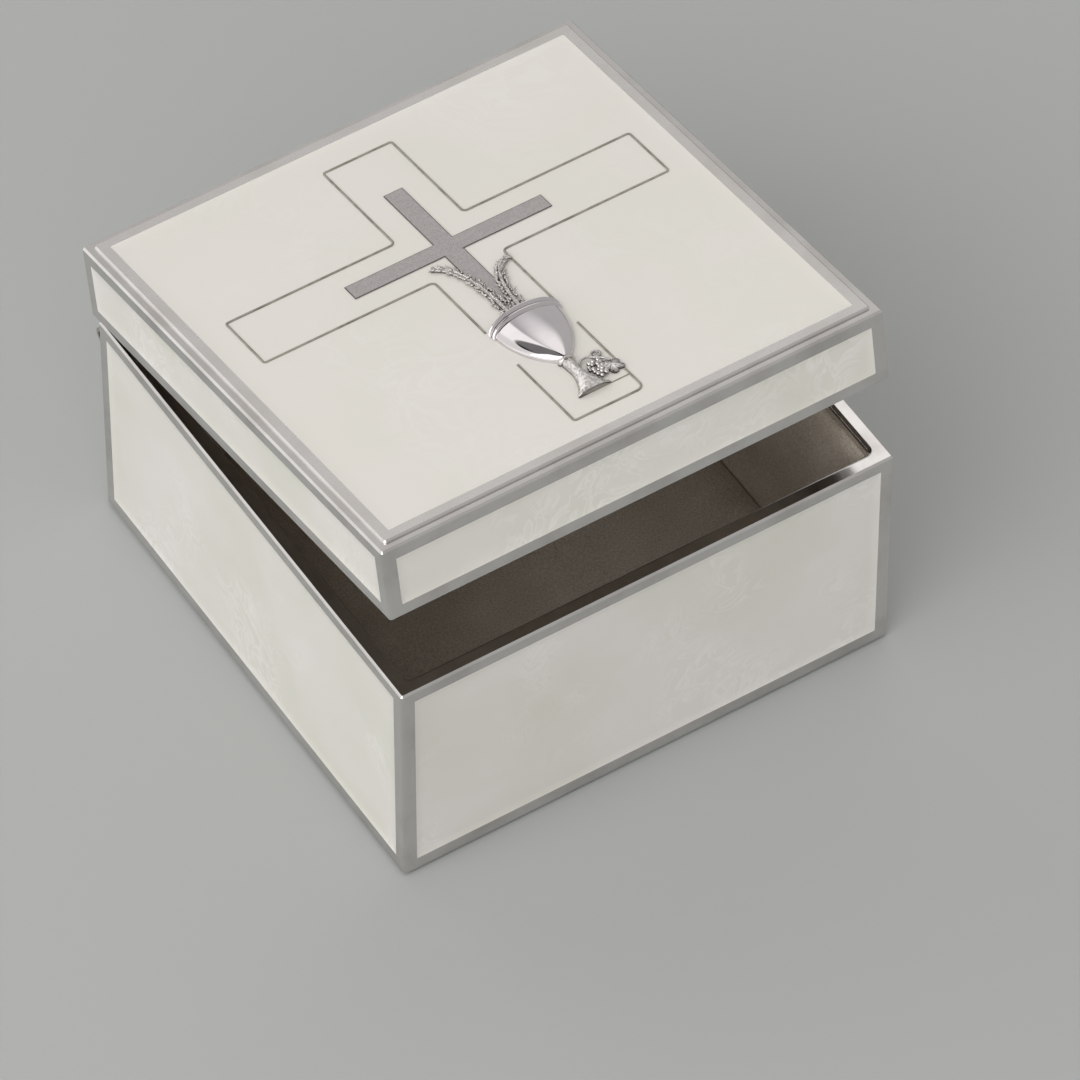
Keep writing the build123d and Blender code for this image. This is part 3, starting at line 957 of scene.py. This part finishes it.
@dataclass
class Chalice(SubAssembly):
    """The chalice in half relief: a polished bowl under a double bead rim, and a chased stem and foot."""

    polished: Material
    chased: Material
    rim_y: float = -12.1
    bowl_length: float = 10.5
    bowl_half_width: float = 5.35
    bowl_relief: float = 1.9
    fullness: float = 0.8
    neck_half_width: float = 0.85
    collar_spread: float = 0.45
    collar_run: float = 0.9
    stem_relief: float = 1.0
    stem_end: float = 13.4
    foot_end: float = 18.2
    foot_half_width: float = 2.6
    foot_relief: float = 0.8
    rim_arch: float = 0.9
    arch_run: float = 7.0
    bury: float = 0.3
    groove_depth: float = 0.35
    pit_up: float = 0.07
    pit_out: float = 0.05

    def shares(self, run: float) -> tuple[float, float]:
        """How far the bowl has drawn in and how far the foot has spread.

        Args:
            run: distance below the rim, in millimetres.

        Returns:
            Both, from 0 to 1.
        """
        bowl = 1.0 - (1.0 - min(max(run, 0.0) / self.bowl_length, 1.0) ** 2) ** self.fullness
        foot = min(max((run - self.stem_end) / (self.foot_end - self.stem_end), 0.0), 1.0)
        return bowl, foot

    def plain_width(self, run: float) -> float:
        """Half width of the plain form, without its beads.

        Args:
            run: distance below the rim, in millimetres.

        Returns:
            The half width, in millimetres.
        """
        bowl, foot = self.shares(run)
        if run < self.bowl_length:
            return self.bowl_half_width + (self.neck_half_width - self.bowl_half_width) * bowl
        collar = self.collar_spread * math.exp(-(run - self.bowl_length) / self.collar_run)
        return self.neck_half_width + collar + (self.foot_half_width - self.neck_half_width) * foot**1.7

    def plain_relief(self, run: float) -> float:
        """Height of the crown of the plain form.

        Args:
            run: distance below the rim, in millimetres.

        Returns:
            The height over the lid's face, in millimetres.
        """
        bowl, foot = self.shares(run)
        if run < self.bowl_length:
            return self.bowl_relief + (self.stem_relief - self.bowl_relief) * bowl
        return self.stem_relief + (self.foot_relief - self.stem_relief) * foot

    def half_round(self, profile: Profile, steps: int) -> BMesh:
        """Spins a profile over the lid and flattens it to its relief.

        Args:
            profile: pairs of distance below the rim and how far the line stands off the plain form.
            steps: faces over the half turn.

        Returns:
            A closed half round form standing on the lid's face.
        """
        bm = bmesh.new()
        points = [bm.verts.new((self.plain_width(run) + stand, -run, 0.0)) for run, stand in profile]
        edges = [bm.edges.new(pair) for pair in zip(points, points[1:])]
        axis = {"cent": (0.0, 0.0, 0.0), "axis": (0.0, -1.0, 0.0)}
        bmesh.ops.spin(bm, geom=points + edges, angle=math.pi, steps=steps, use_merge=False, **axis)
        bmesh.ops.remove_doubles(bm, verts=bm.verts, dist=0.004)
        layer = bm.verts.layers.float.new("lift")
        for vertex in bm.verts:
            run = -vertex.co.y
            stand = math.hypot(vertex.co.x, vertex.co.z) - self.plain_width(run)
            turn = math.atan2(abs(vertex.co.z), vertex.co.x)
            height = (self.plain_relief(run) + stand) * math.sin(turn)
            arch = self.rim_arch * (1.0 - smooth_step(run / self.arch_run)) * height / self.bowl_relief
            across = (self.plain_width(run) + stand) * math.cos(turn)
            vertex.co = Vector((across, vertex.co.y + arch, height if height > 1e-3 else -self.bury))
            # The lift falls to 0 in the grooves round the beads, where the finish paints shade, partly
            # tarnish.
            vertex[layer] = min(max(1.0 + (stand + 0.15) / self.groove_depth, 0.0), 1.0)
        bmesh.ops.holes_fill(bm, edges=[edge for edge in bm.edges if edge.is_boundary], sides=0)
        bmesh.ops.recalc_face_normals(bm, faces=bm.faces)
        if bm.calc_volume(signed=True) < 0.0:
            bmesh.ops.reverse_faces(bm, faces=bm.faces)
        return bm

    def bead(self, centre: float, half_length: float, stand: float, floor: float) -> Profile:
        """A half round bead of a profile.

        Args:
            centre: its distance below the rim.
            half_length: half its length along the axis.
            stand: how far its crest stands off the plain form.
            floor: where its two feet lie, against the plain form.

        Returns:
            Pairs of distance below the rim and stand.
        """
        line = []
        for turn in range(11):
            angle = math.pi * (turn / 10.0 - 0.5)
            rise = math.cos(angle) ** 0.5
            line.append((centre + half_length * math.sin(angle), floor + (stand - floor) * rise))
        return line

    def build(self) -> None:
        """Makes the bowl with its rim, and the stem with its foot."""
        place = Matrix.Translation((0.0, self.rim_y, PLATE_TOP))
        bowl = [(-0.2, -0.9)]
        bowl += self.bead(0.02, 0.22, 0.42, -0.55)
        bowl += self.bead(0.82, 0.26, 0.3, -0.55)
        start, end = 1.32, self.bowl_length - 0.01
        bowl += [(start + (end - start) * math.sin(0.5 * math.pi * step / 32.0), -0.02) for step in range(33)]
        cup = self.half_round(bowl, 64)
        self.put(cup, "chalice_bowl", self.polished, Slot.POLISHED, ["chalice"], place, 50.0)
        neck = self.bowl_length
        stem = [(neck - 0.05, -0.6)]
        stem += self.bead(neck + 0.36, 0.3, 0.12, -0.2)
        start, end = neck + 0.7, self.foot_end - 0.45
        stem += [(start + (end - start) * step / 28.0, 0.0) for step in range(1, 29)]
        stem += self.bead(self.foot_end - 0.2, 0.2, 0.1, -0.1)
        bm = self.half_round(stem, 36)
        for vertex in bm.verts:
            pit = noise.noise(vertex.co * 3.2) + 0.6 * noise.noise(vertex.co * 6.5)
            if vertex.co.z > 0.05:
                vertex.co.z += self.pit_up * pit
                vertex.co.x += self.pit_out * pit * math.copysign(1.0, vertex.co.x)
        # Low parts of the stem get painted shade, partly oxide, from their finish.
        store_lift(bm, 0.0, 0.5)
        self.put(bm, "chalice_stem", self.chased, Slot.RELIEF, ["chalice"], place, 60.0)


@dataclass
class WheatEar(SubAssembly):
    """An ear of wheat rising from the chalice and drooping to one side."""

    silver: Material
    node: str
    root: tuple[float, float]
    rise: tuple[float, float]
    bend: tuple[float, float]
    tip: tuple[float, float]
    half_width: float = 0.9
    pitch: float = 0.25
    seed: int = 7
    rib_radius: float = 0.42
    # Least and most of a husk's half width, half length and half height, and of its angles in degrees.
    husk: tuple[tuple[float, float], ...] = ((0.13, 0.22), (0.2, 0.4), (0.13, 0.22))
    splay: tuple[float, float] = (12.0, 48.0)
    tilt: tuple[float, float] = (4.0, 24.0)
    beard: tuple[float, float, float] = (0.07, 0.42, 0.07)

    def line(self, t: float) -> tuple[Vector, Vector]:
        """A place on the ear's middle line.

        Args:
            t: share of its length, 0 at the chalice.

        Returns:
            The place and the way the line heads there.
        """
        points = (self.root, self.rise, self.bend, self.tip)
        one, two, three, four = (Vector((*point, 0.0)) for point in points)
        u = 1.0 - t
        place = u**3 * one + 3 * u * u * t * two + 3 * u * t * t * three + t**3 * four
        heading = 3 * u * u * (two - one) + 6 * u * t * (three - two) + 3 * t * t * (four - three)
        return place, heading.normalized()

    def grain(self, bm: BMesh, place: Vector, turn: float, size: Vector, tilt: float) -> None:
        """Adds a husk: a pointed drop lying on the lid.

        Args:
            bm: the mesh to add to.
            place: its middle.
            turn: the way its point heads, from straight up.
            size: half its width, half its length and half its height.
            tilt: how far its point is lifted, in degrees.
        """
        shape = bmesh.ops.create_icosphere(bm, subdivisions=2, radius=1.0)["verts"]
        for vertex in shape:
            pinch = 1.0 - 0.6 * max(vertex.co.y, 0.0) ** 1.4
            x, y, z = vertex.co
            vertex.co = Vector((size.x * pinch * x, size.y * y, size.z * pinch * z))
        turned = Matrix.Rotation(turn, 4, "Z") @ Matrix.Rotation(math.radians(tilt), 4, "X")
        bmesh.ops.transform(bm, matrix=Matrix.Translation(place) @ turned, verts=shape)

    def build(self) -> None:
        """Makes the ear: a flat rib, uneven husks in loose rows and short beards at its edges."""
        chance = random.Random(self.seed)
        bm = bmesh.new()
        path = [self.line(step / 14.0)[0] + Vector((0.0, 0.0, -0.05)) for step in range(15)]
        join_mesh(bm, round_bar_mesh(path, self.rib_radius, 10))
        stations = 64
        lengths = [0.0]
        for step in range(stations):
            here, there = self.line(step / stations)[0], self.line((step + 1) / stations)[0]
            lengths.append(lengths[-1] + (there - here).length)
        total = lengths[-1]
        count = int(total / self.pitch)
        for step in range(count):
            want = (step + 0.5) * self.pitch
            spot = next(place for place, run in enumerate(lengths) if run >= want)
            t = spot / stations
            place, heading = self.line(t)
            across = Vector((-heading.y, heading.x, 0.0))
            bearing = math.atan2(heading.y, heading.x) - math.pi / 2.0
            half = self.half_width * (1.3 - 0.55 * max(0.0, t - 0.5) / 0.5 - 0.4 * min(t / 0.4, 1.0))
            for row in (-1, 0, 1):
                if chance.random() < 0.1 + 0.15 * t:
                    continue
                out = row * half * chance.uniform(0.5, 1.0) + chance.uniform(-0.1, 0.1)
                splay = -row * chance.uniform(*self.splay) + chance.uniform(-10.0, 10.0)
                size = Vector([chance.uniform(*span) for span in self.husk])
                height = chance.uniform(0.08, 0.2) + (0.3 - 0.18 * abs(row)) * chance.uniform(0.6, 1.1)
                spread = place + across * -out + Vector((0.0, 0.0, height))
                turn = bearing + math.radians(splay)
                self.grain(bm, spread, turn, size, chance.uniform(*self.tilt))
                if row and chance.random() < 0.2 + 0.3 * t:
                    tip = spread + 0.4 * (Matrix.Rotation(math.radians(splay), 3, "Z") @ heading)
                    self.grain(bm, tip, turn, Vector(self.beard), 12.0)
        # Low husks and the rib get painted shade, partly oxide, from the finish.
        store_lift(bm, 0.05, 0.62)
        self.put(bm, f"{self.node}_ear", self.silver, Slot.RELIEF, [self.node], LID_FACE, 60.0)


@dataclass
class VineSpray(SubAssembly):
    """A bunch of grapes, a lobed leaf and a curled tendril beside the stem."""

    silver: Material
    bunch_x: float = 2.75
    bunch_y: float = -25.5
    berry: float = 0.42
    berry_pitch: float = 0.66
    row_pitch: float = 0.6
    scatter: float = 0.16
    rows: tuple[int, ...] = (3, 4, 5, 4, 3, 2)
    leaf_x: float = 4.5
    leaf_y: float = -27.6
    leaf_radius: float = 1.7
    tendril_x: float = 3.95
    tendril_y: float = -24.3
    tendril_radius: float = 0.85
    tendril_half: float = 0.17
    stalk_half: float = 0.15
    stalk_bends: tuple[tuple[float, float], ...] = (
        (1.4, -24.2),
        (2.4, -24.0),
        (3.3, -24.7),
        (4.4, -25.6),
        (4.8, -26.6),
    )

    def build(self) -> None:
        """Makes the spray as one piece."""
        chance = random.Random(12)
        bm = bmesh.new()
        for row, count in enumerate(self.rows):
            for place in range(count):
                across = place - (count - 1) / 2.0
                x = self.bunch_x + across * self.berry_pitch + chance.uniform(-self.scatter, self.scatter)
                y = self.bunch_y - row * self.row_pitch + chance.uniform(-self.scatter, self.scatter)
                middle = 1.0 - abs(across) / 2.5
                radius = self.berry * chance.uniform(0.68, 1.05)
                made = bmesh.ops.create_icosphere(bm, subdivisions=3, radius=radius)
                z = 0.05 + 0.36 * middle * chance.uniform(0.6, 1.1)
                bmesh.ops.translate(bm, verts=made["verts"], vec=(x, y, z))
        self.leaf(bm)
        curl = [
            Vector((self.tendril_x, self.tendril_y, 0.22))
            + self.tendril_radius
            * (1.0 - 0.6 * step / 18.0)
            * Vector((math.sin(0.42 * step - 2.4), math.cos(0.42 * step - 2.4), 0.0))
            for step in range(19)
        ]
        join_mesh(bm, round_bar_mesh(curl, self.tendril_half, 8))
        stalk = [Vector((0.7, -24.9, 0.25))] + [Vector((x, y, 0.3)) for x, y in self.stalk_bends]
        join_mesh(bm, round_bar_mesh(stalk, self.stalk_half, 8))
        # The gaps between the grapes get painted shade, partly oxide, from the finish.
        store_lift(bm, 0.05, 0.75)
        self.put(bm, "vine_spray_silver", self.silver, Slot.RELIEF, ["vine_spray"], LID_FACE, 60.0)

    def leaf(self, bm: BMesh) -> None:
        """Adds the leaf: a disc drawn out to five lobes, domed and grooved along its veins.

        Args:
            bm: the mesh to add to.
        """
        made = bmesh.ops.create_circle(bm, cap_ends=True, cap_tris=False, segments=60, radius=1.0)
        every = set(made["verts"])
        face = made["verts"][0].link_faces[0]
        for thickness in (0.2, 0.25, 0.25):
            ring = bmesh.ops.inset_region(bm, faces=[face], thickness=thickness)["faces"]
            for item in ring:
                every.update(item.verts)
        every.update(bmesh.ops.poke(bm, faces=[face])["verts"])
        for vertex in every:
            radius = vertex.co.xy.length
            angle = math.atan2(vertex.co.y, vertex.co.x)
            lobe = 0.55 + 0.45 * abs(math.cos(2.5 * angle)) ** 0.7
            vein = abs(math.cos(2.5 * angle)) ** 10
            vertex.co.x *= self.leaf_radius * lobe
            vertex.co.y *= self.leaf_radius * lobe * 0.85
            vertex.co.z = 0.42 - 0.34 * radius**2 + 0.3 * vein * (1.0 - radius * radius)
        grown = bmesh.ops.extrude_face_region(bm, geom=list({f for v in every for f in v.link_faces}))
        low = [item for item in grown["geom"] if isinstance(item, BMVert)]
        for vertex in low:
            vertex.co.z -= 0.3
        place = Matrix.Translation((self.leaf_x, self.leaf_y, 0.12))
        turn = place @ Matrix.Rotation(math.radians(-35.0), 4, "Z")
        whole = list(every) + low
        bmesh.ops.transform(bm, matrix=turn, verts=whole)
        bmesh.ops.recalc_face_normals(bm, faces=list({f for v in whole for f in v.link_faces}))


@dataclass
class Castings:
    """The CAD nodes that keep their own form: the cast base, lid, plate and hinge."""

    silver: Material
    plate: Material
    hinge: Material

    def build(self) -> None:
        """Gives each node its material."""
        materials = {
            "base_case": self.silver,
            "hinge_base_leaf": self.hinge,
            "hinge_pin": self.hinge,
            "lid_case": self.silver,
            "lid_top_plate": self.plate,
            "hinge_lid_leaf": self.hinge,
        }
        for node, material in materials.items():
            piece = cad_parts[node]
            piece.data.materials.clear()
            piece.data.materials.append(material)
            log.info("%s: dressed with %s", node, material.name)


# ---------------------------------------------------------------- studio
@dataclass(frozen=True)
class Glow:
    """A soft round patch of the studio, brighter than what is round it or, below zero, darker.

    Its full gain reaches to the inner angle and fades out at the outer one, in degrees.
    """

    towards: tuple[float, float, float]
    inner: float
    outer: float
    gain: float


@dataclass
class Studio:
    """Pale floor, one soft lamp, a white studio round them and the camera. Angles in degrees."""

    azimuth: float = -32.40
    elevation: float = 50.27
    distance: float = 1430.7
    shift_right: float = 6.39
    shift_up: float = 4.08
    lens: float = 336.8
    key_place: tuple[float, float, float] = (-0.70, -0.22, 0.845)
    key_size: float = 0.9
    key_watts: float = 3.6
    room: float = 0.53
    lean: tuple[float, float, float] = (0.0, 0.04, 0.0)
    floor_half: float = 3.0
    glows: tuple[Glow, ...] = (
        # The left half of the studio is the brighter one.
        Glow((-0.995, 0.105, 0.0), 87.0, 90.0, 0.73),
        # A soft box high at the back right, which the level metal mirrors.
        Glow((0.36, 0.52, 0.775), 10.0, 22.0, 0.62),
        # A dark panel nearly overhead, for black reflections in the polished metal.
        Glow((-0.29, 0.29, 0.91), 22.0, 24.5, -1.05),
        # A grey flag at the back left.
        Glow((-0.70, 0.55, 0.45), 12.0, 26.0, -0.34),
    )

    def build(self) -> None:
        """Makes the stage."""
        self.floor()
        self.world()
        self.key_lamp()
        self.camera()
        bpy.context.scene.view_settings.view_transform = "Standard"

    def floor(self) -> None:
        """A wide flat floor of matte paper."""
        bm = bmesh.new()
        bmesh.ops.create_grid(bm, x_segments=8, y_segments=8, size=self.floor_half)
        mesh = bpy.data.meshes.new("floor")
        bm.to_mesh(mesh)
        bm.free()
        mesh.materials.append(MattePaper("matte_paper_backdrop").build())
        floor = bpy.data.objects.new("floor", mesh)
        bpy.context.scene.collection.objects.link(floor)

    def world(self) -> None:
        """A white studio with brighter and darker patches."""
        world = bpy.data.worlds.new("white_studio")
        bpy.context.scene.world = world
        world.use_nodes = True
        tree = world.node_tree
        tree.nodes.clear()
        towards = add_node(tree, "TexCoord").outputs["Generated"]
        slope = add_node(tree, "VectorMath", {0: towards, 1: self.lean}, operation="DOT_PRODUCT")
        light = add_node(tree, "Math", {0: slope.outputs["Value"], 1: self.room})
        for glow in self.glows:
            aim = tuple(Vector(glow.towards).normalized())
            near = add_node(tree, "VectorMath", {0: towards, 1: aim}, operation="DOT_PRODUCT")
            edge = {
                "Value": near.outputs["Value"],
                "From Min": math.cos(math.radians(glow.outer)),
                "From Max": math.cos(math.radians(glow.inner)),
                "To Min": 0.0,
                "To Max": glow.gain,
            }
            patch = add_node(tree, "MapRange", edge, interpolation_type="SMOOTHSTEP")
            light = add_node(tree, "Math", {0: light, 1: patch})
        sky = add_node(tree, "Background", {"Color": "#FFFEFC", "Strength": light})
        add_node(tree, "OutputWorld", {"Surface": sky})

    def key_lamp(self) -> None:
        """A square soft lamp that looks at the box."""
        data = bpy.data.lights.new("key", "AREA")
        data.shape = "SQUARE"
        data.size = self.key_size
        data.energy = self.key_watts
        lamp = bpy.data.objects.new("key", data)
        lamp.location = self.key_place
        aim = Vector((0.0, 0.0, 0.02)) - Vector(self.key_place)
        lamp.rotation_euler = aim.to_track_quat("-Z", "Y").to_euler()
        bpy.context.scene.collection.objects.link(lamp)

    def camera(self) -> None:
        """The camera, a long lens from the front left and above."""
        az, el = math.radians(self.azimuth), math.radians(self.elevation)
        back = Vector((math.sin(az) * math.cos(el), -math.cos(az) * math.cos(el), math.sin(el)))
        right = Vector((math.cos(az), math.sin(az), 0.0))
        up = back.cross(right)
        turn = Matrix((right, up, back)).transposed()
        data = bpy.data.cameras.new("camera")
        data.sensor_width = 36.0
        data.lens = self.lens
        data.clip_start = 0.05
        camera = bpy.data.objects.new("camera", data)
        camera.location = (back * self.distance + right * self.shift_right + up * self.shift_up) * MM
        camera.rotation_euler = turn.to_euler()
        bpy.context.scene.collection.objects.link(camera)
        bpy.context.scene.camera = camera


def main() -> None:
    """Builds the box piece by piece."""
    Studio().build()
    # Cast zinc, silver plated and buffed: soft clear reflections. The plate is brushed a little duller.
    silver = SilverPlate("silver_plated_casting").build()
    plate = SilverPlate("silver_plated_plate", roughness=0.24, tarnish="#CFCBC8").build()
    # Rolled brass, thinly silvered: greyer and more tarnished.
    hinge = SilverPlate("silvered_hinge_brass", "#C4BFBA", "#A39E99", roughness=0.2).build()
    # Nickel silver, mirror polished: sharp black and white reflections, and dark lines in the bead grooves
    # that are painted shade, partly tarnish.
    mirror = {"roughness": 0.03, "roughness_spread": 0.02, "grain_height_mm": 0.0004}
    polished = SilverPlate("polished_nickel_silver", "#D9D4D6", "#CEC8CC", worn="#24211F", **mirror).build()
    # Cast silver, chased, with painted shade and oxide in its hollows: glints over a dark ground. The ears
    # are frosted.
    tooled = {"grain_mm": 0.32, "grain_height_mm": 0.03, "cloud_mm": 0.8}
    chased = SilverPlate("chased_silver", "#DBD7D5", "#B9B5B2", 0.14, worn="#4E4A47", **tooled).build()
    frosted = SilverPlate("frosted_silver", "#D6D2CF", "#BAB6B3", 0.28, worn="#7C7875", **tooled).build()
    # Drawn silver wire, oxidised: a thin dull brown grey line.
    wire = SilverPlate("oxidised_wire", "#ACA89E", "#8C887E", 0.35, cloud_mm=2.0).build()
    # Cast pewter, punched all over: a flat dull grey with dark dots.
    stipple = StippledPewter("stippled_pewter").build()
    # Cold enamel, glossy over a pearly cream. The lid's field lies calm, the sides were stirred more.
    calm = {"swirl_mm": 20.0, "curl_share": 0.38}
    top = PearlEnamel("pearl_enamel_top", ground="#E4E0DA", shade="#E1DED6", **calm).build()
    # The sides' ground and pearl are a little paler than the top's: painted light that brightens the upright
    # faces.
    stirred = {"swirl_mm": 10.0, "curl_share": 0.65}
    sides = PearlEnamel("pearl_enamel_sides", "#E7E2DE", "#F0EEEA", "#DFDDD3", **stirred).build()
    # Cotton velvet: soft, with no shine but a pale edge. The felt underneath is black and matted.
    velvet = LiningVelvet("taupe_velvet").build()
    felt = WoolFelt("black_wool_felt").build()

    Castings(silver, plate, hinge).build()
    heights = {side: RIM_LEVEL - SIDE_BORDER for side in Side}
    heights[Side.BACK] = BACK_FILL_TOP
    EnamelFills(Body.BASE, sides, BASE_WIDTH, BASE_BOTTOM + SIDE_BORDER, heights, "base").build()
    lid_heights = {side: LEDGE_LEVEL - SIDE_BORDER for side in Side}
    EnamelFills(Body.LID, sides, LID_WIDTH, LID_BOTTOM + SIDE_BORDER, lid_heights, "lid", seed=11.0).build()
    BaseLining(Body.BASE, velvet, felt).build()
    LidPad(Body.LID, velvet).build()
    LidTop(Body.LID, top, wire, stipple).build()
    Chalice(Body.LID, polished, chased).build()
    for node, seed, line in (
        ("wheat_left", 7, ((-0.95, -11.4), (-0.6, -5.5), (-0.9, 3.2), (-4.6, 4.9))),
        ("wheat_right", 9, ((0.95, -11.4), (1.2, -6.0), (1.7, 0.4), (5.4, 0.8))),
    ):
        WheatEar(Body.LID, frosted, node, *line, seed=seed).build()
    VineSpray(Body.LID, chased).build()


if __name__ == "__main__":
    main()
